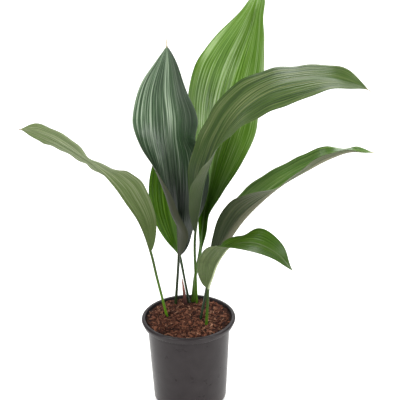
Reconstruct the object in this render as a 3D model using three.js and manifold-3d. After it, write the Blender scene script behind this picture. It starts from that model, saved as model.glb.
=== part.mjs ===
// A cast iron plant (Aspidistra elatior) in a round plastic nursery pot, filled with coir soil.
// Seven leaves and one young shoot stand in the soil, each on its own stalk.
// Millimetres, +Z up. The origin is the centre of the face that the pot rests on.

import * as THREE from 'three';
import { mergeVertices } from 'three/addons/utils/BufferGeometryUtils.js';
import Module from 'manifold-3d';

const wasm = await Module();
wasm.setup();

// ---- Driving dimensions -------------------------------------------------------------------

const CLEARANCE = 0.3; // between pieces that touch

// Pot: a tapered shell with a stepped-in foot and a lip whose skirt hangs down outside the wall
const POT_HEIGHT = 150;
const LIP_RADIUS = 75;
const LIP_MOUTH_RADIUS = 69;
const LIP_SKIRT = 10;
const LIP_THICKNESS = 3; // of the flat ring between the mouth and the skirt
const LIP_ROUNDING = 3;
const SKIRT_INSET = 2.5; // the skirt's lower edge draws in towards the wall
const MOUTH_STEP = 1.5; // the small step along the mouth's edge
const WALL_TOP_RADIUS = 66;
const WALL_FOOT_RADIUS = 59;
const WALL = 1.5;
const FOOT_RADIUS = 55;
const FOOT_HEIGHT = 8;
const FOOT_ROUNDING = 1;
const FOOT_SHOULDER = 2; // height of the slope from the foot out to the wall
const DRAIN_COUNT = 8;
const DRAIN_WIDTH = 12;
const DRAIN_REACH = 12; // along the radius, half inside the foot's edge and half outside
const DRAIN_DEPTH = 6;
const POT_SIDES = 40;

// Soil: level a little under the lip, mounded towards the middle, with a crumbly surface
const SOIL_RADIUS = LIP_MOUTH_RADIUS - 1;
const SOIL_EDGE = 145;
const SOIL_MOUND = 5;
const SOIL_SIDES = 40;
const SOIL_RINGS = 7;

// Leaf stalks go down this far into the soil, and swell where they leave it
const ROOTED = 22;
const SWELLING = 0.35;
const SWELLING_HEIGHT = 30;
const HOLE_SIDES = 10;
const HOLE_BELOW = 1; // past the stalk's buried end
const HOLE_ABOVE = 12; // clear of the soil's crumbs

// Leaf blades
const BLADE_THICKNESS = 0.8;
const TIP_HALF_WIDTH = 0.8;
const RIB_HALF_WIDTH = 2;
const RIB_FLAT = 3; // the halves rise to their fold over this distance from the rib
const RIB_THINNING = 0.75; // share of the stalk's width that the rib loses by the tip
const TIP_SHARE = 0.04; // the last part of the blade, where the rib itself tapers off
const CROWN_SHARE = 0.1; // the first part of the blade, where the stalk's front sinks in
const STALK_KEEL = 2; // how far the stalk's rounded back stands behind the blade's surface
const STALK_CROWN = 1.4; // and how far its front stands before it
const TIP_KEEL = 0.2;
const STALK_STEP = 20;
const BLADE_STEP = 11;
const BLADE_EASING = 0.2; // how much closer the steps are at the blade's ends
const RIB_STEPS = 800;
const FOLD_STEPS = 8;

// Young shoot, still rolled in its sheath
const SHOOT = { foot: [-5, 43, 149], tip: [-10, 44, 199], radius: 3.3, sides: 12, steps: 8 };

// Each leaf's midrib is a smooth line through its stations, from the soil to the tip:
//   [x, y, z, turn, left near rib, left at margin, right near rib, right at margin]
// turn twists the blade about its rib, and the last four are how far each half of the blade
// is folded up from flat, in degrees. facing is where the blade's upper side looks at the soil
// (0 to -Y, 90 to +X), and the blade starts at the third station.
const LEAVES = {
  leaf_tall_front: {
    facing: 60, halfWidth: 61, widest: 0.65, fullness: 1, foot: 0.6, stalk: 2.4, curl: 2,
    dryTip: true, wave: [0.8, 5, 0], columns: 5, color: 0x2f4a35,
    stations: [
      [-21, 45, 149, 0, 0, 0, 0, 0],
      [-17, 46, 194, 0, 20, 20, 20, 20],
      [-14, 47, 233, 0, 50, 60, 50, 60],
      [-14, 49, 268, 5, 55, 125, 25, 25],
      [-15, 52, 310, 20, 14, 164, 35, 35],
      [-15, 55, 359, 40, 12, 142, 35, 35],
      [-17, 58, 405, 60, 20, 101, 35, 35],
      [-19, 60, 432, 70, 16, 81, 44, 44],
      [-20, 62, 462, 80, 18, 30, 29, 29],
      [-23, 64, 505, 80, 13, 13, 32, 32],
      [-23, 65, 543, 80, 15, 15, 29, 29],
      [-24, 65, 572, 80, 10, 10, 10, 10],
      [-25, 65, 587, 80, 0, 0, 0, 0],
    ],
  },
  leaf_tall_back: {
    facing: 0, halfWidth: 66, widest: 0.68, fullness: 1.1, foot: 1.15, stalk: 2.6, curl: 1,
    dryTip: false, wave: [1, 7, 1], columns: 3, color: 0x5f8f3a,
    stations: [
      [7, 53, 148, 0, 0, 0, 0, 0],
      [11, 57, 188, 0, 20, 20, 20, 20],
      [19, 65, 224, 0, 65, 65, 65, 65],
      [24, 74, 261, 0, 65, 65, 60, 60],
      [28, 84, 292, 0, 60, 60, 73, 73],
      [36, 92, 332, 0, 45, 45, 52, 52],
      [44, 97, 378, 0, 35, 35, 30, 30],
      [57, 101, 429, 0, 25, 25, 29, 29],
      [71, 105, 486, 0, 5, 5, 46, 46],
      [88, 108, 541, 0, 22, 22, 57, 57],
      [103, 108, 584, 0, 30, 30, 64, 64],
      [113, 110, 621, 0, 35, 35, 65, 65],
      [121, 111, 653, 0, 10, 10, 10, 10],
    ],
  },
  leaf_back_short: {
    facing: 0, halfWidth: 31, widest: 0.5, fullness: 1, foot: 0.85, stalk: 1.9, curl: 1,
    dryTip: false, wave: [0.8, 4, 0.5], columns: 3, color: 0x3d6a10,
    stations: [
      [1, 47, 147, 0, 0, 0, 0, 0],
      [-6, 60, 184, 0, 20, 20, 20, 20],
      [-13, 67, 224, 0, 60, 60, 60, 60],
      [-20, 74, 253, 0, 20, 20, 20, 20],
      [-28, 82, 294, 0, 17, 17, 15, 15],
      [-31, 88, 335, 0, 14, 14, 12, 12],
      [-32, 91, 378, 0, 12, 12, 10, 10],
      [-30, 92, 425, 0, 10, 10, 10, 10],
    ],
  },
  leaf_arch_right: {
    facing: -90, halfWidth: 45, widest: 0.62, fullness: 0.75, foot: 0.7, stalk: 2.4, curl: 1,
    dryTip: true, wave: [1.2, 9, 0.6], columns: 3, color: 0x4a6b3a,
    stations: [
      [13, 46, 149, 0, 0, 0, 0, 0],
      [12, 36, 202, 0, 30, 30, 30, 30],
      [13, 20, 285, 0, 60, 60, 60, 60],
      [18, 11, 321, 0, 52, 52, 60, 60],
      [30, -6, 388, 0, 60, 60, 26, 59],
      [40, -14, 419, 0, 50, 50, 10, 43],
      [53, -24, 455, 0, 37, 35, 6, 21],
      [79, -36, 500, 0, 24, 24, -2, -2],
      [125, -51, 538, 0, 3, 1, -11, -18],
      [162, -58, 548, 0, 0, -2, -10, -16],
      [201, -63, 551, 0, 10, 10, -1, -1],
      [229, -66, 546, 0, 34, 34, 3, 3],
      [255, -68, 536, 0, 5, 5, 5, 5],
      [263, -69, 530, 0, 0, 0, 0, 0],
    ],
  },
  leaf_left: {
    facing: 90, halfWidth: 47, widest: 0.55, fullness: 0.7, foot: 0.7, stalk: 2.5, curl: 1,
    dryTip: false, wave: [0.9, 9, 0], columns: 3, color: 0x6a7a50,
    stations: [
      [-34, 3, 147, 0, 0, 0, 0, 0],
      [-48, 0, 220, 0, 20, 20, 20, 20],
      [-56, -3, 265, 0, 60, 60, 50, 50],
      [-74, -8, 323, 0, 86, 86, 35, 35],
      [-89, -11, 350, 0, 86, 86, 18, 18],
      [-103, -14, 375, 0, 75, 75, 0, 0],
      [-118, -17, 397, 0, 55, 55, -29, -29],
      [-130, -20, 413, 0, 38, 38, -34, -34],
      [-152, -24, 433, 0, 30, 30, -38, -38],
      [-171, -28, 449, 0, 42, 42, -43, -43],
      [-196, -33, 467, 0, 51, 51, -58, -58],
      [-220, -37, 476, 0, 70, 70, -62, -62],
      [-237, -40, 479, 0, 40, 40, -40, -40],
    ],
  },
  leaf_low_right: {
    facing: -90, halfWidth: 42, widest: 0.45, fullness: 1, foot: 0.7, stalk: 2.2, curl: 1,
    dryTip: false, wave: [0.8, 8, 0.4], columns: 3, color: 0x3f6a25,
    stations: [
      [19, -9, 149, 0, 0, 0, 0, 0],
      [25, -7, 180, 0, 20, 20, 20, 20],
      [37, -6, 232, 0, 50, 50, 60, 60],
      [49, -9, 259, 0, 45, 45, 62, 62],
      [64, -13, 286, 0, 35, 35, 78, 78],
      [87, -19, 323, 0, 34, 34, 84, 84],
      [114, -25, 355, 0, 27, 27, 58, 58],
      [145, -31, 384, 0, 18, 18, 27, 27],
      [178, -36, 406, 0, 23, 23, 36, 36],
      [212, -40, 426, 0, 35, 35, 50, 50],
      [240, -42, 436, 0, 5, 5, 44, 44],
      [258, -43, 436, 0, 60, 60, 25, 25],
      [276, -44, 435, 0, 10, 10, 10, 10],
    ],
  },
  leaf_small: {
    facing: -135, halfWidth: 34, widest: 0.5, fullness: 0.8, foot: 0.42, stalk: 2.1, curl: 1,
    dryTip: false, wave: [0.8, 5, 0], columns: 3, color: 0x3f7a1f,
    stations: [
      [28, -26, 149, 0, 0, 0, 0, 0],
      [30, -31, 184, 0, 20, 20, 20, 20],
      [32, -38, 219, 0, 50, 50, 60, 60],
      [38, -48, 242, 0, 42, 42, 48, 48],
      [44, -60, 266, 0, 42, 42, 52, 52],
      [52, -75, 289, 0, 36, 36, 38, 38],
      [64, -90, 311, 0, 9, 9, 27, 27],
      [82, -102, 323, 0, 17, 17, 3, 3],
      [105, -112, 324, 0, 36, 36, -3, -3],
      [129, -119, 313, 0, 35, 35, -8, -8],
      [152, -123, 287, 0, 5, 5, 0, 0],
    ],
  },
};

// ---- Solids -------------------------------------------------------------------------------

function solidOf(geometry) {
  const bare = geometry.index ? geometry.toNonIndexed() : geometry.clone();
  bare.deleteAttribute('normal');
  bare.deleteAttribute('uv');
  const merged = mergeVertices(bare, 1e-4);
  const corners = [];
  for (let i = 0; i < merged.index.count; i += 3) {
    const [a, b, c] = [0, 1, 2].map((k) => merged.index.getX(i + k));
    if (a !== b && b !== c && c !== a) corners.push(a, b, c);
  }
  const vertProperties = new Float32Array(merged.attributes.position.array);
  return new wasm.Manifold(
    new wasm.Mesh({ numProp: 3, vertProperties, triVerts: new Uint32Array(corners) }),
  );
}

function geometryOf(solid) {
  const { vertProperties, triVerts } = solid.getMesh();
  const geometry = new THREE.BufferGeometry();
  geometry.setAttribute('position', new THREE.BufferAttribute(new Float32Array(vertProperties), 3));
  geometry.setIndex(new THREE.BufferAttribute(new Uint32Array(triVerts), 1));
  geometry.computeVertexNormals();
  return geometry;
}

function triangleGeometry(points, triangles) {
  const geometry = new THREE.BufferGeometry();
  geometry.setFromPoints(points);
  geometry.setIndex(triangles.flat());
  geometry.computeVertexNormals();
  return geometry;
}

// A turned solid about the Z axis, from [radius, z] pairs that run up the outside
function turned(outline, sides) {
  const points = outline.map(([radius, z]) => new THREE.Vector2(radius, z));
  return new THREE.LatheGeometry(points, sides).rotateX(Math.PI / 2);
}

// A cylinder between two points
function rod(from, to, radius, sides) {
  const axis = to.clone().sub(from);
  const geometry = new THREE.CylinderGeometry(radius, radius, axis.length(), sides);
  const up = new THREE.Vector3(0, 1, 0);
  geometry.applyQuaternion(new THREE.Quaternion().setFromUnitVectors(up, axis.clone().normalize()));
  const middle = from.clone().add(to).multiplyScalar(0.5);
  return geometry.translate(middle.x, middle.y, middle.z);
}

// ---- Pot ----------------------------------------------------------------------------------

// Radius of the wall's outside at a height between the foot and the lip
function wallRadius(z) {
  const lipBottom = POT_HEIGHT - LIP_SKIRT;
  const share = (z - FOOT_HEIGHT) / (lipBottom - FOOT_HEIGHT);
  return WALL_FOOT_RADIUS + (WALL_TOP_RADIUS - WALL_FOOT_RADIUS) * share;
}

function potOutline() {
  const lipBottom = POT_HEIGHT - LIP_SKIRT;
  const skirtBottomRadius = LIP_RADIUS - SKIRT_INSET;
  const outside = [
    [0, 0],
    [FOOT_RADIUS - FOOT_ROUNDING, 0],
    [FOOT_RADIUS, FOOT_ROUNDING],
    [FOOT_RADIUS, FOOT_HEIGHT - FOOT_SHOULDER],
    [WALL_FOOT_RADIUS - FOOT_ROUNDING / 2, FOOT_HEIGHT - FOOT_ROUNDING / 2],
    [wallRadius(FOOT_HEIGHT + FOOT_ROUNDING), FOOT_HEIGHT + FOOT_ROUNDING],
    [wallRadius(lipBottom), lipBottom],
    [LIP_MOUTH_RADIUS + WALL - 0.5, lipBottom + LIP_THICKNESS],
    [LIP_MOUTH_RADIUS + WALL, POT_HEIGHT - LIP_THICKNESS],
    [LIP_RADIUS - WALL - 0.5, POT_HEIGHT - LIP_THICKNESS],
    [skirtBottomRadius - WALL, lipBottom],
    [skirtBottomRadius, lipBottom],
  ];
  const lip = [];
  for (let k = 0; k <= 4; k += 1) {
    const angle = (k / 4) * (Math.PI / 2);
    lip.push([
      LIP_RADIUS - LIP_ROUNDING * (1 - Math.cos(angle)),
      POT_HEIGHT - LIP_ROUNDING * (1 - Math.sin(angle)),
    ]);
  }
  const inside = [
    [LIP_MOUTH_RADIUS + MOUTH_STEP, POT_HEIGHT],
    [LIP_MOUTH_RADIUS + MOUTH_STEP / 4, POT_HEIGHT - MOUTH_STEP / 3],
    [LIP_MOUTH_RADIUS, POT_HEIGHT - MOUTH_STEP],
    [LIP_MOUTH_RADIUS - MOUTH_STEP / 3, lipBottom + LIP_THICKNESS + 1],
    [wallRadius(lipBottom) - WALL, lipBottom],
    [wallRadius(FOOT_HEIGHT + FOOT_SHOULDER) - WALL, FOOT_HEIGHT + FOOT_SHOULDER],
    [FOOT_RADIUS - WALL, FOOT_HEIGHT],
    [FOOT_RADIUS - WALL, WALL],
    [0, WALL],
  ];
  return [...outside, ...lip, ...inside];
}

// Drain holes notch the corner of the foot, so that water runs out sideways
function drainHole(index) {
  const below = 2;
  const cutter = new THREE.BoxGeometry(DRAIN_REACH, DRAIN_WIDTH, DRAIN_DEPTH + below);
  cutter.translate(FOOT_RADIUS, 0, (DRAIN_DEPTH - below) / 2);
  return cutter.rotateZ(((index + 0.5) / DRAIN_COUNT) * 2 * Math.PI);
}

function potGeometry() {
  let pot = solidOf(turned(potOutline(), POT_SIDES));
  for (let index = 0; index < DRAIN_COUNT; index += 1) {
    pot = pot.subtract(solidOf(drainHole(index)));
  }
  return geometryOf(pot);
}

// ---- Leaves -------------------------------------------------------------------------------

const clamp = THREE.MathUtils.clamp;
const radians = THREE.MathUtils.degToRad;

// A smooth curve through values, given at rising distances
function spline(at, values) {
  const last = at.length - 1;
  const rise = (i) => (values[i + 1] - values[i]) / (at[i + 1] - at[i]);
  const slope = at.map((_, i) => {
    if (i === 0) return rise(0);
    if (i === last) return rise(last - 1);
    const before = at[i] - at[i - 1];
    const after = at[i + 1] - at[i];
    return (rise(i - 1) * after + rise(i) * before) / (before + after);
  });
  return (where) => {
    let i = 0;
    while (i < last - 1 && where > at[i + 1]) i += 1;
    const span = at[i + 1] - at[i];
    const u = (where - at[i]) / span;
    const lean = u * (1 - u) * span * ((1 - u) * slope[i] - u * slope[i + 1]);
    const blend = u * u * (3 - 2 * u);
    return values[i] * (1 - blend) + values[i + 1] * blend + lean;
  };
}

// The midrib: where it runs, its length, and how the blade is turned and folded along it
function midrib(leaf) {
  const [soil, second] = leaf.stations;
  const start = new THREE.Vector3(...soil);
  const down = start.clone().sub(new THREE.Vector3(...second)).setLength(ROOTED);
  const stations = [[...start.add(down).toArray(), 0, 0, 0, 0, 0], ...leaf.stations];
  const at = [0];
  for (let i = 1; i < stations.length; i += 1) {
    const [a, b] = [stations[i - 1], stations[i]].map((row) => new THREE.Vector3(...row));
    at.push(at[i - 1] + a.distanceTo(b));
  }
  const channels = stations[0].map((_, c) => spline(at, stations.map((row) => row[c])));
  return {
    soil: at[1],
    base: at[3],
    end: leaf.dryTip ? at[at.length - 2] : at[at.length - 1],
    length: at[at.length - 1],
    point: (where) => new THREE.Vector3(...channels.slice(0, 3).map((channel) => channel(where))),
    angles: (where) => channels.slice(3).map((channel) => radians(channel(where))),
  };
}

// Frames at small even steps along the midrib. The side direction is carried along without
// twisting, so that only a station's turn twists the blade.
function ribFrames(leaf, rib) {
  const facing = radians(leaf.facing);
  const frames = [];
  let side = null;
  for (let k = 0; k <= RIB_STEPS; k += 1) {
    const where = (k / RIB_STEPS) * rib.length;
    const before = rib.point(Math.max(where - 1, 0));
    const along = rib.point(Math.min(where + 1, rib.length)).sub(before).normalize();
    side ??= along.clone().cross(new THREE.Vector3(Math.sin(facing), -Math.cos(facing), 0));
    side = side.clone().addScaledVector(along, -side.dot(along)).normalize();
    frames.push({ where, point: rib.point(where), along, side });
  }
  return frames;
}

// Half the blade's width at a share of its length: it widens from the foot and narrows to the tip
function bladeHalfWidth(leaf, share) {
  if (share < leaf.widest) {
    return leaf.halfWidth * Math.sin((Math.PI / 2) * (share / leaf.widest)) ** leaf.foot;
  }
  const fall = (1 - share) / (1 - leaf.widest);
  return leaf.halfWidth * Math.sin((Math.PI / 2) * fall) ** leaf.fullness;
}

// Half the stalk's width, which goes on into the blade as its midrib
function stalkHalfWidth(leaf, rib, where, share) {
  const swelling = clamp(1 - (where - rib.soil) / SWELLING_HEIGHT, 0, 1) * SWELLING;
  return leaf.stalk * (1 - RIB_THINNING * share) * (1 + swelling);
}

// One section across the leaf: spots from the left margin over the midrib to the right margin,
// each with its distance from the midrib and the direction that is up from the blade there
function section(leaf, rib, frame) {
  const share = clamp((frame.where - rib.base) / (rib.end - rib.base), 0, 1);
  const [turn, leftNear, leftFar, rightNear, rightFar] = rib.angles(frame.where);
  const side = frame.side.clone().applyAxisAngle(frame.along, -turn);
  const normal = side.clone().cross(frame.along);
  const stalk = stalkHalfWidth(leaf, rib, frame.where, share);
  const taper = clamp((1 - share) / TIP_SHARE, 0, 1);
  const blade = frame.where < rib.base ? 0 : bladeHalfWidth(leaf, share);
  const halfWidth = Math.max(blade, stalk * taper, TIP_HALF_WIDTH);
  const [waveHeight, waveCount, wavePhase] = leaf.wave;

  const half = (hand, near, far) => {
    const slopeAt = (distance) => {
      const reach = distance / halfWidth;
      return (near + (far - near) * reach ** leaf.curl) * clamp(distance / RIB_FLAT, 0, 1);
    };
    const spots = [];
    const place = frame.point.clone();
    const first = Math.min(RIB_HALF_WIDTH, halfWidth / 2);
    let reached = 0;
    for (let column = 0; column < leaf.columns; column += 1) {
      const distance = first + ((halfWidth - first) * column) / (leaf.columns - 1);
      const step = (distance - reached) / FOLD_STEPS;
      for (let k = 0; k < FOLD_STEPS; k += 1) {
        const slope = slopeAt(reached + (k + 0.5) * step);
        place.addScaledVector(side, hand * Math.cos(slope) * step);
        place.addScaledVector(normal, Math.sin(slope) * step);
      }
      reached = distance;
      const slope = slopeAt(distance);
      const up = normal.clone().multiplyScalar(Math.cos(slope));
      up.addScaledVector(side, -hand * Math.sin(slope));
      const swing = Math.sin(2 * Math.PI * waveCount * share + wavePhase + hand);
      const fade = Math.sqrt(Math.sin(Math.PI * share)) * (distance / halfWidth) ** 2;
      const point = place.clone().addScaledVector(up, waveHeight * swing * (share > 0 ? fade : 0));
      spots.push({ point, up, distance });
    }
    return spots;
  };

  const spots = [
    ...half(-1, leftNear, leftFar).reverse(),
    { point: frame.point, up: normal, distance: 0 },
    ...half(1, rightNear, rightFar),
  ];
  return { share, stalk, spots };
}

// Stations are closer together where the blade begins and ends
function stationPlaces(rib) {
  const places = [];
  const stalkSteps = Math.ceil(rib.base / STALK_STEP);
  for (let k = 0; k < stalkSteps; k += 1) places.push((k / stalkSteps) * rib.base);
  const bladeLength = rib.end - rib.base;
  const bladeSteps = Math.ceil(bladeLength / BLADE_STEP);
  for (let k = 0; k <= bladeSteps; k += 1) {
    const share = k / bladeSteps;
    const eased = share - (BLADE_EASING * Math.sin(2 * Math.PI * share)) / (2 * Math.PI);
    places.push(rib.base + eased * bladeLength);
  }
  if (rib.end < rib.length) places.push((rib.end + rib.length) / 2, rib.length);
  return places;
}

// Stalk and blade are one solid: upper and lower skins over the sections, closed along the
// margins and at both ends. The stalk's round section sinks into the blade as its midrib.
function leafGeometry(leaf) {
  const rib = midrib(leaf);
  const frames = ribFrames(leaf, rib);
  const nearest = (where) => frames[Math.round((where / rib.length) * RIB_STEPS)];
  const sections = stationPlaces(rib).map((where) => section(leaf, rib, nearest(where)));
  const columns = sections[0].spots.length;
  const points = [];
  for (const { share, stalk, spots } of sections) {
    const keel = THREE.MathUtils.lerp(STALK_KEEL, TIP_KEEL, share);
    const crown = STALK_CROWN * clamp(1 - share / CROWN_SHARE, 0, 1);
    for (const [height, hand] of [[crown, 1], [keel, -1]]) {
      for (const { point, up, distance } of spots) {
        const round = Math.sqrt(Math.max(0, 1 - (distance / stalk) ** 2));
        const lift = BLADE_THICKNESS / 2 + height * round;
        points.push(point.clone().addScaledVector(up, hand * lift));
      }
    }
  }

  const upper = (i, j) => i * 2 * columns + j;
  const lower = (i, j) => upper(i, j) + columns;
  const triangles = [];
  const quad = (a, b, c, d) => triangles.push([a, b, c], [a, c, d]);
  for (let i = 0; i < sections.length - 1; i += 1) {
    for (let j = 0; j < columns - 1; j += 1) {
      const spot = (m, n) => sections[i + m].spots[j + n].point;
      const across = spot(0, 0).distanceTo(spot(1, 1)) > spot(0, 1).distanceTo(spot(1, 0));
      if (across) {
        quad(upper(i, j + 1), upper(i + 1, j + 1), upper(i + 1, j), upper(i, j));
        quad(lower(i + 1, j), lower(i + 1, j + 1), lower(i, j + 1), lower(i, j));
      } else {
        quad(upper(i, j), upper(i, j + 1), upper(i + 1, j + 1), upper(i + 1, j));
        quad(lower(i, j), lower(i + 1, j), lower(i + 1, j + 1), lower(i, j + 1));
      }
    }
    quad(upper(i, 0), upper(i + 1, 0), lower(i + 1, 0), lower(i, 0));
    const last = columns - 1;
    quad(lower(i, last), lower(i + 1, last), upper(i + 1, last), upper(i, last));
  }
  const end = sections.length - 1;
  for (let j = 0; j < columns - 1; j += 1) {
    quad(upper(0, j + 1), upper(0, j), lower(0, j), lower(0, j + 1));
    quad(upper(end, j), upper(end, j + 1), lower(end, j + 1), lower(end, j));
  }
  return triangleGeometry(points, triangles);
}

// ---- Young shoot --------------------------------------------------------------------------

const shootFoot = new THREE.Vector3(...SHOOT.foot);
const shootTip = new THREE.Vector3(...SHOOT.tip);
const shootAxis = shootTip.clone().sub(shootFoot).normalize();

// A slim spear with a rounded foot in the soil and a pointed tip
function shootGeometry() {
  const height = shootFoot.distanceTo(shootTip);
  const outline = [[0, -ROOTED]];
  for (let k = 0; k <= SHOOT.steps; k += 1) {
    const share = k / SHOOT.steps;
    outline.push([SHOOT.radius * (1 - share ** 3), -ROOTED + share * (ROOTED + height)]);
  }
  const geometry = turned(outline, SHOOT.sides);
  const up = new THREE.Vector3(0, 0, 1);
  geometry.applyQuaternion(new THREE.Quaternion().setFromUnitVectors(up, shootAxis));
  return geometry.translate(...shootFoot.toArray());
}

// ---- Soil ---------------------------------------------------------------------------------

// Height of the soil: a low mound, with crumbs that die away at the pot's wall
function soilHeight(x, y) {
  const reach = Math.hypot(x, y) / SOIL_RADIUS;
  const mound = SOIL_MOUND * (1 - reach ** 2);
  const crumbs =
    1.0 * Math.sin(0.31 * x + 1.3) * Math.cos(0.27 * y - 0.4) +
    0.6 * Math.sin(0.53 * x - 0.41 * y + 2.0) +
    0.4 * Math.cos(0.47 * x + 0.62 * y);
  return SOIL_EDGE + mound + crumbs * (1 - reach ** 6);
}

function soilBlock() {
  const lipBottom = POT_HEIGHT - LIP_SKIRT;
  const inner = WALL + CLEARANCE;
  const shoulder = FOOT_HEIGHT + FOOT_SHOULDER + CLEARANCE;
  const side = [
    [FOOT_RADIUS - inner, inner],
    [FOOT_RADIUS - inner, FOOT_HEIGHT],
    [wallRadius(shoulder) - inner, shoulder],
    [wallRadius(lipBottom) - inner, lipBottom + CLEARANCE],
    [SOIL_RADIUS, SOIL_EDGE],
  ];
  const rings = [...side];
  for (let k = SOIL_RINGS - 1; k > 0; k -= 1) rings.push([(SOIL_RADIUS * k) / SOIL_RINGS, null]);
  const points = [new THREE.Vector3(0, 0, inner)];
  for (const [radius, z] of rings) {
    for (let k = 0; k < SOIL_SIDES; k += 1) {
      const angle = (k / SOIL_SIDES) * 2 * Math.PI;
      const [x, y] = [radius * Math.cos(angle), radius * Math.sin(angle)];
      points.push(new THREE.Vector3(x, y, z ?? soilHeight(x, y)));
    }
  }
  points.push(new THREE.Vector3(0, 0, soilHeight(0, 0)));
  const at = (ring, k) => 1 + ring * SOIL_SIDES + (k % SOIL_SIDES);
  const top = points.length - 1;
  const lastRing = rings.length - 1;
  const triangles = [];
  for (let k = 0; k < SOIL_SIDES; k += 1) {
    triangles.push([0, at(0, k + 1), at(0, k)]);
    for (let ring = 0; ring < lastRing; ring += 1) {
      triangles.push([at(ring, k), at(ring, k + 1), at(ring + 1, k + 1)]);
      triangles.push([at(ring, k), at(ring + 1, k + 1), at(ring + 1, k)]);
    }
    triangles.push([at(lastRing, k), at(lastRing, k + 1), top]);
  }
  return triangleGeometry(points, triangles);
}

// A plain hole round a buried stalk, from below its end to above the soil
function stalkHole(foot, axis, radius) {
  const from = foot.clone().addScaledVector(axis, -ROOTED - HOLE_BELOW);
  const to = foot.clone().addScaledVector(axis, HOLE_ABOVE);
  const corner = (radius + CLEARANCE) / Math.cos(Math.PI / HOLE_SIDES);
  return solidOf(rod(from, to, corner, HOLE_SIDES));
}

function soilGeometry() {
  let soil = solidOf(soilBlock());
  for (const leaf of Object.values(LEAVES)) {
    const [foot, next] = leaf.stations.map((row) => new THREE.Vector3(...row));
    const axis = next.sub(foot).normalize();
    soil = soil.subtract(stalkHole(foot, axis, leaf.stalk * (1 + SWELLING)));
  }
  soil = soil.subtract(stalkHole(shootFoot, shootAxis, SHOOT.radius));
  return geometryOf(soil);
}

// ---- The potted plant ---------------------------------------------------------------------

function piece(name, geometry, color, roughness) {
  const material = new THREE.MeshStandardMaterial({ color, roughness, metalness: 0 });
  const mesh = new THREE.Mesh(geometry, material);
  mesh.name = name;
  return mesh;
}

const plant = new THREE.Group();
plant.add(piece('pot', potGeometry(), 0x46403f, 0.55));
plant.add(piece('soil', soilGeometry(), 0x6b4636, 0.95));
plant.add(piece('shoot_sheath', shootGeometry(), 0x8a5a50, 0.6));
for (const [name, leaf] of Object.entries(LEAVES)) {
  plant.add(piece(name, leafGeometry(leaf), leaf.color, 0.4));
}

export default plant;
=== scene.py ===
import math

import bmesh
import bpy
import numpy as np
from mathutils import Matrix, Quaternion, Vector, noise


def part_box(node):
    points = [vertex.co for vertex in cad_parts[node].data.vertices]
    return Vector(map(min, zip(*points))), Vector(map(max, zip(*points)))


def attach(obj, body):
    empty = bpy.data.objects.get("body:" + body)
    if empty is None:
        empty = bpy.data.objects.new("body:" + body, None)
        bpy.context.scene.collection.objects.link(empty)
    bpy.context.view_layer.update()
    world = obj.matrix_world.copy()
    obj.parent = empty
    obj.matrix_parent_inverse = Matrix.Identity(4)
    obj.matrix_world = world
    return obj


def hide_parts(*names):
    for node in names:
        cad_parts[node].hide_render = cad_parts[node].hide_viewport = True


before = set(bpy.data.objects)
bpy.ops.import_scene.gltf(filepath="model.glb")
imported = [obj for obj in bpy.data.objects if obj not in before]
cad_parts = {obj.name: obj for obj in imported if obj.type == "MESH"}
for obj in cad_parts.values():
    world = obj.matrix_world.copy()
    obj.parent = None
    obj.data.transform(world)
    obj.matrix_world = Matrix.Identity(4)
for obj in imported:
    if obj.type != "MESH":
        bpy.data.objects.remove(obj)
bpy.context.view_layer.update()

MM = 0.001

# ---- Pot ------------------------------------------------------------------------------------
# A round nursery pot, injection moulded in one piece from black recycled polypropylene. The wall
# tapers so that pots nest, the lip turns over into a skirt that stiffens the mouth, and notches at
# the corner of the foot let water out.

POT_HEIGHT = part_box("pot")[1][2]
LIP_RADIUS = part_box("pot")[1][0]
LIP_THICKNESS = 3 * MM
BEAD_RADIUS = 1.2 * MM
MOUTH_RADIUS = LIP_RADIUS - 6 * MM
SKIRT_RADIUS = LIP_RADIUS - 2.5 * MM
SKIRT_BOTTOM = POT_HEIGHT - 10 * MM
SKIRT_ROUNDING = 0.6 * MM
WALL_TOP_RADIUS = LIP_RADIUS - 9 * MM
WALL_FOOT_RADIUS = LIP_RADIUS - 16 * MM
FOOT_RADIUS = LIP_RADIUS - 20 * MM
FOOT_HEIGHT = 8 * MM
FOOT_ROUNDING = 1 * MM
FOOT_SHOULDER = 2 * MM
WALL = 1.5 * MM
WALL_RINGS = 12
POT_SIDES = 192
DRAIN_COUNT = 8
DRAIN_WIDTH = 12 * MM
DRAIN_DEPTH = 6 * MM
DRAIN_REACH = WALL_FOOT_RADIUS - FOOT_RADIUS + 8 * MM
DRAIN_BELOW = 2 * MM
DRAIN_ROUNDING = 2 * MM
DUST_HEIGHT = 30 * MM


def linear(code):
    """The linear colour of an sRGB hex code such as "#46403f"."""
    channels = [int(code[k : k + 2], 16) / 255 for k in (1, 3, 5)]
    return [c / 12.92 if c <= 0.04045 else ((c + 0.055) / 1.055) ** 2.4 for c in channels] + [1.0]


def add(tree, kind, inputs=None, stops=(), **settings):
    """Adds a node with its settings and (place, hex code) colour stops, and sets each input to a
    value or links it to a socket."""
    node = tree.nodes.new(kind)
    for name, value in settings.items():
        setattr(node, name, value)
    for name, value in (inputs or {}).items():
        if isinstance(value, bpy.types.NodeSocket):
            tree.links.new(value, node.inputs[name])
        else:
            node.inputs[name].default_value = value
    for _ in stops[2:]:
        node.color_ramp.elements.new(0.5)
    for k, (place, code) in enumerate(stops):
        node.color_ramp.elements[k].position = place
        node.color_ramp.elements[k].color = linear(code)
    return node


def material(name, **values):
    """A new material with a Principled shader, whose own sockets hold the given values."""
    made = bpy.data.materials.new(name)
    made.use_nodes = True
    shader = made.node_tree.nodes["Principled BSDF"]
    for socket, value in values.items():
        shader.inputs[socket.replace("_", " ")].default_value = value
    return made, made.node_tree, shader


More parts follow.
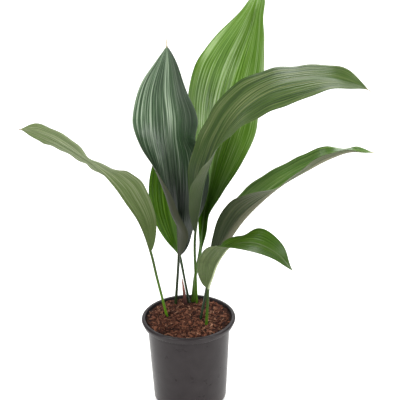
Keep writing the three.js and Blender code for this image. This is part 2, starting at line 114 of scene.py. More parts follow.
def mesh_object(name, vertices, faces, material_list, sharp_degrees=40):
    """A smooth-shaded mesh piece, with its place in its mesh."""
    mesh = bpy.data.meshes.new(name)
    mesh.from_pydata([tuple(v) for v in vertices], [], faces)
    mesh.validate()
    mesh.shade_smooth()
    mesh.set_sharp_from_angle(angle=math.radians(sharp_degrees))
    piece = bpy.data.objects.new(name, mesh)
    bpy.context.scene.collection.objects.link(piece)
    for item in material_list:
        mesh.materials.append(item)
    return piece


def plain_mesh(piece):
    """Turns the piece's modifiers into its mesh."""
    evaluated = piece.evaluated_get(bpy.context.evaluated_depsgraph_get())
    mesh = bpy.data.meshes.new_from_object(evaluated)
    piece.modifiers.clear()
    piece.data = mesh


def arc(centre, radius, start, end, steps):
    """Points on an arc, from start to end in degrees."""
    angles = np.radians(np.linspace(start, end, steps))
    return [(centre[0] + radius * math.cos(a), centre[1] + radius * math.sin(a)) for a in angles]


def circle(sides):
    """Directions to equally spaced points round the upright axis."""
    angles = [2 * math.pi * k / sides for k in range(sides)]
    return [(math.cos(angle), math.sin(angle)) for angle in angles]


def ring_faces(rings, sides):
    """The faces of a closed skin: its first point, its rings of points one by one, its last."""
    last = 1 + rings * sides
    faces = []
    for k in range(sides):
        after = (k + 1) % sides
        faces.append((0, 1 + after, 1 + k))
        for low in range(1, last - sides, sides):
            high = low + sides
            faces.append((low + k, low + after, high + after, high + k))
        faces.append((last - sides + k, last - sides + after, last))
    return faces


def turned(outline, sides):
    """A solid turned from an outline that starts and ends on the axis."""
    vertices = [(0, 0, outline[0][1])]
    for radius, z in outline[1:-1]:
        vertices += [(radius * x, radius * y, z) for x, y in circle(sides)]
    vertices.append((0, 0, outline[-1][1]))
    return vertices, ring_faces(len(outline) - 2, sides)


def wall_radius(z):
    """The radius of the wall's outside at a height."""
    share = (z - FOOT_HEIGHT) / (SKIRT_BOTTOM - FOOT_HEIGHT)
    return WALL_FOOT_RADIUS + (WALL_TOP_RADIUS - WALL_FOOT_RADIUS) * share


def pot_outline():
    """The pot's section, from the middle of its underside round the lip to its floor."""
    lip_bottom = POT_HEIGHT - LIP_THICKNESS
    foot = [(0, 0), (FOOT_RADIUS - 2 * FOOT_ROUNDING, 0)]
    foot += arc((FOOT_RADIUS - FOOT_ROUNDING, FOOT_ROUNDING), FOOT_ROUNDING, -90, 0, 4)
    step = [
        (FOOT_RADIUS, FOOT_HEIGHT - FOOT_SHOULDER),
        (WALL_FOOT_RADIUS - FOOT_ROUNDING, FOOT_HEIGHT - 0.8 * FOOT_ROUNDING),
        (wall_radius(FOOT_HEIGHT + FOOT_ROUNDING), FOOT_HEIGHT + FOOT_ROUNDING),
    ]
    heights = np.linspace(FOOT_HEIGHT + 3 * FOOT_ROUNDING, SKIRT_BOTTOM, WALL_RINGS)
    wall = [(wall_radius(z), z) for z in heights]
    under_lip = [
        (MOUTH_RADIUS + 1 * MM, SKIRT_BOTTOM + 3 * MM),
        (MOUTH_RADIUS + WALL, lip_bottom),
        (LIP_RADIUS - WALL - 0.5 * MM, lip_bottom),
        (SKIRT_RADIUS - WALL, SKIRT_BOTTOM),
    ]
    rounding = (SKIRT_RADIUS - SKIRT_ROUNDING, SKIRT_BOTTOM + SKIRT_ROUNDING)
    skirt = arc(rounding, SKIRT_ROUNDING, -90, 0, 4)
    lip = arc((LIP_RADIUS - LIP_THICKNESS, lip_bottom), LIP_THICKNESS, 0, 90, 10)
    bead = arc((MOUTH_RADIUS + BEAD_RADIUS, POT_HEIGHT - BEAD_RADIUS), BEAD_RADIUS, 90, 180, 7)
    inside = [
        (MOUTH_RADIUS - 0.5 * MM, SKIRT_BOTTOM + 4 * MM),
        (WALL_TOP_RADIUS - WALL, SKIRT_BOTTOM),
        (wall_radius(FOOT_HEIGHT + FOOT_SHOULDER) - WALL, FOOT_HEIGHT + FOOT_SHOULDER),
        (FOOT_RADIUS - WALL, FOOT_HEIGHT),
        (FOOT_RADIUS - WALL, WALL),
        (0, WALL),
    ]
    return foot + step + wall + under_lip + skirt + lip + bead + inside


def drain_cutters():
    """One block for each drain notch, rounded along its upper edges, in one mesh."""
    cutters = bmesh.new()
    middle = Matrix.Translation((FOOT_RADIUS, 0, (DRAIN_DEPTH - DRAIN_BELOW) / 2))
    size = Matrix.Diagonal((DRAIN_REACH, DRAIN_WIDTH, DRAIN_DEPTH + DRAIN_BELOW, 1))
    for k in range(DRAIN_COUNT):
        turn = Matrix.Rotation(2 * math.pi * (k + 0.5) / DRAIN_COUNT, 4, "Z")
        made = bmesh.ops.create_cube(cutters, size=1, matrix=turn @ middle @ size)
        outward = turn @ Vector((1, 0, 0))
        rounded = [
            edge
            for edge in {edge for vertex in made["verts"] for edge in vertex.link_edges}
            if abs((edge.verts[0].co - edge.verts[1].co).normalized().dot(outward)) > 0.9
            and edge.verts[0].co.z > DRAIN_DEPTH / 2
        ]
        bmesh.ops.bevel(
            cutters, geom=rounded, offset=DRAIN_ROUNDING, segments=4, affect="EDGES", profile=0.5
        )
    mesh = bpy.data.meshes.new("drain_cutters")
    cutters.to_mesh(mesh)
    cutters.free()
    return bpy.data.objects.new("drain_cutters", mesh)


# Moulded polypropylene: nearly black and a little milky, with a trace of dust at the foot and a
# spark-eroded grain that breaks its shine. The real grain is 0.3 mm and is drawn at about 1 mm so
# that it shows.
pot_plastic, tree, shader = material(
    "moulded polypropylene, matt black", IOR=1.49, Specular_IOR_Level=0.13
)
place = add(tree, "ShaderNodeTexCoord").outputs["Object"]
height = add(tree, "ShaderNodeSeparateXYZ", {"Vector": place}).outputs["Z"]
mottle = add(tree, "ShaderNodeTexNoise", {"Vector": place, "Scale": 60.0, "Detail": 4.0}).outputs["Fac"]
blacks = [(0.3, "#272324"), (0.7, "#2d292a")]
black = add(tree, "ShaderNodeValToRGB", {"Fac": mottle}, stops=blacks).outputs["Color"]
dustiness = {"Value": height, "From Min": 0.0, "From Max": DUST_HEIGHT, "To Min": 0.1, "To Max": 0.0}
dustiness = add(tree, "ShaderNodeMapRange", dustiness).outputs["Result"]
patches = {"Vector": place, "Scale": 35.0, "Detail": 6.0, "Roughness": 0.7}
patches = add(tree, "ShaderNodeTexNoise", patches).outputs["Fac"]
dust = add(tree, "ShaderNodeMath", {0: dustiness, 1: patches}, operation="MULTIPLY").outputs[0]
dusty = {"Factor": dust, 6: black, 7: linear("#7a6a5c")}
dusty = add(tree, "ShaderNodeMix", dusty, data_type="RGBA").outputs[2]
tree.links.new(dusty, shader.inputs["Base Color"])
dullness = {"Value": mottle, "From Min": 0.3, "From Max": 0.7, "To Min": 0.27, "To Max": 0.31}
dullness = add(tree, "ShaderNodeMapRange", dullness).outputs["Result"]
tree.links.new(dullness, shader.inputs["Roughness"])
grain = add(tree, "ShaderNodeTexNoise", {"Vector": place, "Scale": 900.0, "Detail": 2.0}).outputs["Fac"]
bump = add(tree, "ShaderNodeBump", {"Height": grain, "Strength": 0.25, "Distance": 0.3 * MM})
tree.links.new(bump.outputs["Normal"], shader.inputs["Normal"])

pot = mesh_object("nursery_pot", *turned(pot_outline(), POT_SIDES), [pot_plastic])
cutters = drain_cutters()
bpy.context.scene.collection.objects.link(cutters)
notches = pot.modifiers.new("drain notches", "BOOLEAN")
notches.operation = "DIFFERENCE"
notches.solver = "EXACT"
notches.object = cutters
plain_mesh(pot)
bpy.data.objects.remove(cutters)
pot.data.shade_smooth()
pot.data.set_sharp_from_angle(angle=math.radians(35))
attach(pot, "root")
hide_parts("pot")

# ---- Leaves ---------------------------------------------------------------------------------
# Seven leathery leaves of Aspidistra elatior, each grown in one piece: a stiff grooved stalk that
# widens into a folded blade. Close parallel veins run from the stalk to the tip and give the blade
# fine pleats. The upper side is dark and waxy, the underside paler and matt.

# The stalk: rooted below the soil, swollen above it, keeled below and rounded above
ROOTED = 22 * MM
SWELLING = 0.35
SWELLING_HEIGHT = 30 * MM
STALK_KEEL = 2.1 * MM
STALK_CROWN = 1.5 * MM
# The midrib: the stalk going on along the blade, thinner towards the tip
CROWN_SHARE = 0.1
RIB_THINNING = 0.75
RIB_THINNEST = 0.3
RIB_FLAT = 3 * MM
TIP_KEEL = 0.15 * MM
TIP_SHARE = 0.04
TIP_NARROWEST = 0.12
# The blade: thin at its margin, pleated by its veins, with a dry thread at some tips
HALF_THICKNESS = 0.32 * MM
MARGIN_HALF_THICKNESS = 0.12 * MM
MARGIN_THINNING = 1.5 * MM
PLEAT_SPACING = 5.5 * MM
PLEAT_HEIGHT = 0.3 * MM
PLEAT_START = 3 * MM
PLEAT_EASING = 6 * MM
PLEAT_MARGIN = 1 / 12
SECOND_PLEATS = 1.7
SECOND_PLEAT_SHARE = 0.5
THREAD_START = 0.8 * MM
THREAD_END = 0.2 * MM
DRYING = 3 * MM
# How finely the leaf is drawn
RIB_STEPS = 800
BLADE_SECTIONS = 150
STALK_SECTIONS = 40
COLUMNS = 44
COLUMN_EASING = 1.25
# Where its colours change
VEIN_SPACING = 2.2
# Painted shade at the blade's base and over its right half
BASE_SHADE_FADE = 0.4
SHADE_START = 0.1
SHADE_END = 0.5
RIB_LINE = 0.8 * MM
STALK_DEEP = 110 * MM
STALK_FRESH = 20 * MM
BROWNING_RAGGED = 0.03
BROWNING_FADE = 0.02


def spline(at, values):
    """A smooth curve through rows of values at rising distances, read at any distances."""
    at, values = np.asarray(at), np.asarray(values, float)
    span = np.diff(at)
    rise = np.diff(values, axis=0) / span[:, None]
    slope = np.vstack([
        rise[:1],
        (rise[:-1] * span[1:, None] + rise[1:] * span[:-1, None]) / (span[:-1] + span[1:])[:, None],
        rise[-1:],
    ])

    def read(where):
        i = np.clip(np.searchsorted(at, where, side="right") - 1, 0, len(span) - 1)
        step = span[i][:, None]
        u = ((where - at[i]) / span[i])[:, None]
        lean = u * (1 - u) * step * ((1 - u) * slope[i] - u * slope[i + 1])
        blend = u * u * (3 - 2 * u)
        return values[i] * (1 - blend) + values[i + 1] * blend + lean

    return read


def unit(vectors):
    """Each vector at length one."""
    return vectors / np.linalg.norm(vectors, axis=-1, keepdims=True)


def midrib(leaf):
    """Frames, folding angles and named places along the midrib, from the buried end to the tip."""
    rows = np.array(leaf["stations"], float)
    rows[:, :3] *= MM
    buried = rows[0].copy()
    buried[:3] -= unit(rows[1, :3] - rows[0, :3]) * ROOTED
    rows = np.vstack([buried, rows])
    at = np.concatenate([[0], np.cumsum(np.linalg.norm(np.diff(rows[:, :3], axis=0), axis=1))])
    read = spline(at, rows)
    where = np.linspace(0, at[-1], RIB_STEPS + 1)
    read_rows = read(where)
    ahead = read(np.minimum(where + 1 * MM, at[-1]))[:, :3]
    behind = read(np.maximum(where - 1 * MM, 0))[:, :3]
    along = unit(ahead - behind)
    facing = math.radians(leaf["facing"])
    side = np.cross(along[0], (math.sin(facing), -math.cos(facing), 0))
    sides = []
    for direction in along:
        side = unit(side - np.dot(side, direction) * direction)
        sides.append(side)
    return {
        "where": where,
        "points": read_rows[:, :3],
        "along": along,
        "sides": np.array(sides),
        "angles": np.radians(read_rows[:, 3:]),
        "soil": at[1],
        "base": at[3],
        "end": at[-2] if leaf["dry_tip"] else at[-1],
        "length": at[-1],
    }


def half_widths(leaf, rib, where, share):
    """Half the width of the whole leaf and of its stalk, which goes on as the midrib."""
    widest = leaf["widest"]
    rising = np.sin(np.pi / 2 * np.clip(share / widest, 0, 1)) ** leaf["foot"]
    falling = np.sin(np.pi / 2 * np.clip((1 - share) / (1 - widest), 0, 1)) ** leaf["fullness"]
    blade = leaf["half_width"] * MM * np.where(share < widest, rising, falling)
    blade = np.where(where < rib["base"], 0, blade)
    swelling = np.clip(1 - (where - rib["soil"]) / SWELLING_HEIGHT, 0, 1) * SWELLING
    thinning = np.clip(1 - RIB_THINNING * share, RIB_THINNEST, 1)
    stalk = leaf["stalk"] * MM * thinning * (1 + swelling)
    narrowing = np.clip((1 - share) / TIP_SHARE, TIP_NARROWEST, 1)
    dry = np.clip((where - rib["end"]) / max(rib["length"] - rib["end"], 1e-6), 0, 1)
    thread = THREAD_START + (THREAD_END - THREAD_START) * dry
    thread = np.where(where > rib["end"], thread, 0)
    return np.maximum.reduce([blade, stalk * narrowing, thread]), stalk


def leaf_skin(leaf, rib):
    """Points of the leaf's middle surface and their upward directions, in sections by columns."""
    stalk_places = np.linspace(0, rib["base"], STALK_SECTIONS, endpoint=False)
    blade_places = np.linspace(rib["base"], rib["length"], BLADE_SECTIONS)
    picked = np.round(np.concatenate([stalk_places, blade_places]) / rib["length"] * RIB_STEPS)
    picked = np.unique(picked.astype(int))
    where, spine = rib["where"][picked], rib["points"][picked][:, None]
    share = np.clip((where - rib["base"]) / (rib["end"] - rib["base"]), 0, 1)
    turn, left_near, left_far, right_near, right_far = rib["angles"][picked].T
    along, side = rib["along"][picked], rib["sides"][picked]
    normal = np.cross(side, along)
    cos, sin = np.cos(turn)[:, None], np.sin(turn)[:, None]
    side, normal = side * cos + normal * sin, normal * cos - side * sin
    side, normal = side[:, None], normal[:, None]
    width, stalk = half_widths(leaf, rib, where, share)
    full_width = leaf["half_width"] * MM
    # Columns crowd towards the midrib, where the stalk's round section goes on
    ease = np.linspace(0, 1, COLUMNS + 1)[None]
    near_rib = np.minimum(stalk / width, 1)[:, None]
    reach = ease * near_rib + (ease**COLUMN_EASING - ease * near_rib) * ease
    reach = reach / reach[:, -1:]
    part = reach[:, 1:]
    distance = part * width[:, None]
    # The margin waves between the leaf's ends
    wave_height, wave_count, wave_phase = leaf["wave"]
    wave_height = wave_height * MM * np.sqrt(np.clip(np.sin(np.pi * share), 0, 1))
    # Veins fold the blade into fine pleats that run together at both ends
    pleat_turns = 2 * np.pi * full_width / PLEAT_SPACING * part
    pleat_height = PLEAT_HEIGHT * np.clip(width / full_width, 0, 1)[:, None]
    pleat_height = pleat_height * np.clip((distance - PLEAT_START) / PLEAT_EASING, 0, 1)
    pleat_height = pleat_height * np.clip((1 - part) / PLEAT_MARGIN, 0, 1)

    def half(hand, near, far):
        """The half blade from beside the midrib to its margin, on the left for a hand of -1."""
        near, far = near[:, None], far[:, None]

        def slope_at(part):
            opening = np.clip(part * width[:, None] / RIB_FLAT, 0, 1)
            return (near + (far - near) * part ** leaf["curl"]) * opening

        step = np.diff(reach, axis=1) * width[:, None]
        slope = slope_at((reach[:, 1:] + reach[:, :-1]) / 2)
        out = np.cumsum(hand * np.cos(slope) * step, axis=1)[..., None] * side
        lift = np.cumsum(np.sin(slope) * step, axis=1)[..., None] * normal
        slope = slope_at(part)[..., None]
        up = np.cos(slope) * normal - hand * np.sin(slope) * side
        wave = wave_height * np.sin(2 * np.pi * wave_count * share + wave_phase + hand)
        second = np.sin(SECOND_PLEATS * pleat_turns + 0.6 * np.pi * hand)
        pleat = np.sin(pleat_turns) + SECOND_PLEAT_SHARE * second
        rise = wave[:, None] * part**2 + pleat_height * pleat
        return spine + out + lift + up * rise[..., None], up, distance, hand * part

    left = [np.flip(item, axis=1) for item in half(-1, left_near, left_far)]
    right = half(1, right_near, right_far)
    nothing = np.zeros((len(picked), 1))
    middle = (spine, normal, nothing, nothing)
    joined = (np.concatenate(items, axis=1) for items in zip(left, middle, right))
    return *joined, where, share, width, stalk


def leaf_piece(name, node, leaf):
    """One leaf as a closed mesh with an upper and an under skin."""
    rib = midrib(leaf)
    points, up, distance, across, where, share, width, stalk = leaf_skin(leaf, rib)
    sections, columns = distance.shape
    keel = STALK_KEEL + (TIP_KEEL - STALK_KEEL) * share**0.7
    crown = STALK_CROWN * np.clip(1 - share / CROWN_SHARE, 0, 1)
    round_off = np.sqrt(np.clip(1 - (distance / stalk[:, None]) ** 2, 0, 1))
    edge = np.clip((width[:, None] - distance) / MARGIN_THINNING, 0, 1)
    thick = MARGIN_HALF_THICKNESS + (HALF_THICKNESS - MARGIN_HALF_THICKNESS) * edge
    upper = points + up * (thick + crown[:, None] * round_off)[..., None]
    lower = points - up * (thick + keel[:, None] * round_off)[..., None]
    # The pleats don't widen the leaf beyond its size
    vertices = np.clip(np.concatenate([upper.reshape(-1, 3), lower.reshape(-1, 3)]), *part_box(node))
    shift = sections * columns
    top = np.arange(shift).reshape(sections, columns)
    low = top + shift
    a, b, c, d = top[:-1, :-1], top[:-1, 1:], top[1:, 1:], top[1:, :-1]
    upper_faces = np.stack([a, b, c, d], -1).reshape(-1, 4)
    lower_faces = np.stack([a, d, c, b], -1).reshape(-1, 4) + shift
    rims = [
        np.stack([top[:-1, 0], top[1:, 0], low[1:, 0], low[:-1, 0]], -1),
        np.stack([low[:-1, -1], low[1:, -1], top[1:, -1], top[:-1, -1]], -1),
        np.stack([top[0, 1:], top[0, :-1], low[0, :-1], low[0, 1:]], -1),
        np.stack([top[-1, :-1], top[-1, 1:], low[-1, 1:], low[-1, :-1]], -1),
    ]
    faces = np.concatenate([upper_faces, lower_faces, *rims])
    piece = mesh_object(name, vertices, faces.tolist(), leaf_materials(name, leaf), sharp_degrees=70)
    slots = np.ones(len(faces), np.int32)
    slots[: len(upper_faces)] = 0
    piece.data.polygons.foreach_set("material_index", slots)
    kept = {
        "blade_across": across,
        "blade_distance": distance,
        "blade_along": where[:, None] - rib["base"],
        "blade_share": share[:, None],
        "blade_stalk": (where < rib["base"])[:, None],
        "blade_dry": np.clip((where - rib["end"]) / DRYING + 1, 0, 1)[:, None],
    }
    for label, values in kept.items():
        values = np.broadcast_to(values, (sections, columns)).astype(np.float32)
        attribute = piece.data.attributes.new(label, "FLOAT", "POINT")
        attribute.data.foreach_set("value", np.tile(values.reshape(-1), 2))
    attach(piece, "root")
    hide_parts(node)


def leaf_materials(name, leaf):
    """The waxy upper side and the matt underside of a living leaf. Chlorophyll makes the upper
    side dark; thin veins carry less of it and show as paler lines, and the palest streaks along the
    blade are partly painted sheen. The base, and the right half of some leaves, are darkened with
    painted shade. Real veins are 1 to 2 mm apart and are drawn 2 to 3 mm apart so that they show."""
    made = []
    for index, face in enumerate(("upper", "under")):
        waxy = face == "upper"
        item, tree, shader = material(
            f"aspidistra leaf, {'waxy upper side' if waxy else 'matt underside'}, {name}",
            IOR=1.45,
            Specular_IOR_Level=leaf["gloss"] if waxy else 0.15,
            Subsurface_Weight=0.05,
            Subsurface_Scale=1.5 * MM,
            Subsurface_Radius=(0.4, 1.0, 0.2),
        )
        across, along, distance, share, stalk, dry = (
            add(tree, "ShaderNodeAttribute", attribute_name=f"blade_{label}").outputs["Fac"]
            for label in ("across", "along", "distance", "share", "stalk", "dry")
        )
        streaks = {"X": across, "Y": along, "Z": leaf["seed"]}
        streaks = add(tree, "ShaderNodeCombineXYZ", streaks).outputs["Vector"]
        veins = {0: streaks, 1: (leaf["half_width"] / VEIN_SPACING, 5.0, 1.0)}
        veins = add(tree, "ShaderNodeVectorMath", veins, operation="MULTIPLY").outputs["Vector"]
        fine = {"Vector": veins, "Scale": 1.0, "Detail": 3.0, "Roughness": 0.6}
        fine = add(tree, "ShaderNodeTexNoise", fine).outputs["Fac"]
        bands = {0: streaks, 1: (6.0, 7.0, 1.0)}
        bands = add(tree, "ShaderNodeVectorMath", bands, operation="MULTIPLY").outputs["Vector"]
        broad = {"Vector": bands, "Scale": 1.0, "Detail": 4.0, "Roughness": 0.55}
        broad = add(tree, "ShaderNodeTexNoise", broad).outputs["Fac"]
        blend = add(tree, "ShaderNodeMix", {"Factor": 0.35, 2: fine, 3: broad}).outputs[0]
        # The palest colour is partly paler vein and partly painted sheen, in streaks along the blade
        deep, fresh, pale_vein_and_sheen = leaf[face]
        greens = [(0.36, deep), (0.5, fresh), (0.66, pale_vein_and_sheen)]
        blade = add(tree, "ShaderNodeValToRGB", {"Fac": blend}, stops=greens).outputs["Color"]
        # Painted shade: the blade darkens towards its base, and over the right half of some leaves
        shade_at_base = {
            "Value": share,
            "From Min": leaf["base_shade_reach"] - BASE_SHADE_FADE,
            "From Max": leaf["base_shade_reach"],
            "To Min": leaf["base_shade_strength"],
            "To Max": 0.0,
        }
        shade_at_base = add(tree, "ShaderNodeMapRange", shade_at_base).outputs["Result"]
        shade_on_right = {
            "Value": across,
            "From Min": SHADE_START,
            "From Max": SHADE_END,
            "To Max": leaf["right_shade_strength"],
        }
        shade_on_right = add(tree, "ShaderNodeMapRange", shade_on_right).outputs["Result"]
        painted_shade = add(tree, "ShaderNodeMath", {0: shade_at_base, 1: shade_on_right}, operation="MAXIMUM").outputs[0]
        blade = {"Factor": painted_shade, 6: blade, 7: linear(deep)}
        blade = add(tree, "ShaderNodeMix", blade, data_type="RGBA").outputs[2]
        rib_line = {
            "Value": distance,
            "From Min": RIB_LINE,
            "From Max": leaf["rib_reach"][index] * MM,
            "To Min": leaf["rib_show"][index],
            "To Max": 0.0,
        }
        rib_line = add(tree, "ShaderNodeMapRange", rib_line).outputs["Result"]
        blade = {"Factor": rib_line, 6: blade, 7: linear(leaf["rib"])}
        blade = add(tree, "ShaderNodeMix", blade, data_type="RGBA").outputs[2]
        up_stalk = {"Value": along, "From Min": -STALK_DEEP, "From Max": -STALK_FRESH}
        up_stalk = add(tree, "ShaderNodeMapRange", up_stalk).outputs["Result"]
        greens = [(0.0, leaf["stalk_low"]), (1.0, leaf["stalk_high"])]
        stalk_green = add(tree, "ShaderNodeValToRGB", {"Fac": up_stalk}, stops=greens).outputs["Color"]
        green = {"Factor": stalk, 6: blade, 7: stalk_green}
        green = add(tree, "ShaderNodeMix", green, data_type="RGBA").outputs[2]
        # Tips dry out to straw, with a ragged edge
        ragged = {0: fine, 1: BROWNING_RAGGED, 2: share}
        ragged = add(tree, "ShaderNodeMath", ragged, operation="MULTIPLY_ADD").outputs[0]
        tipward = {
            "Value": ragged,
            "From Min": leaf["browning"],
            "From Max": leaf["browning"] + BROWNING_FADE,
        }
        tipward = add(tree, "ShaderNodeMapRange", tipward).outputs["Result"]
        dried = add(tree, "ShaderNodeMath", {0: tipward, 1: dry}, operation="MAXIMUM").outputs[0]
        colour = {"Factor": dried, 6: green, 7: linear(leaf["dry_colour"])}
        colour = add(tree, "ShaderNodeMix", colour, data_type="RGBA").outputs[2]
        tree.links.new(colour, shader.inputs["Base Color"])
        smooth, rough = leaf["roughness"] if waxy else (0.5, 0.62)
        dullness = {"Value": fine, "From Min": 0.3, "From Max": 0.7, "To Min": smooth, "To Max": rough}
        dullness = add(tree, "ShaderNodeMapRange", dullness).outputs["Result"]
        tree.links.new(dullness, shader.inputs["Roughness"])
        bump = add(tree, "ShaderNodeBump", {"Height": fine, "Strength": 0.6, "Distance": 0.4 * MM})
        tree.links.new(bump.outputs["Normal"], shader.inputs["Normal"])
        made.append(item)
    return made
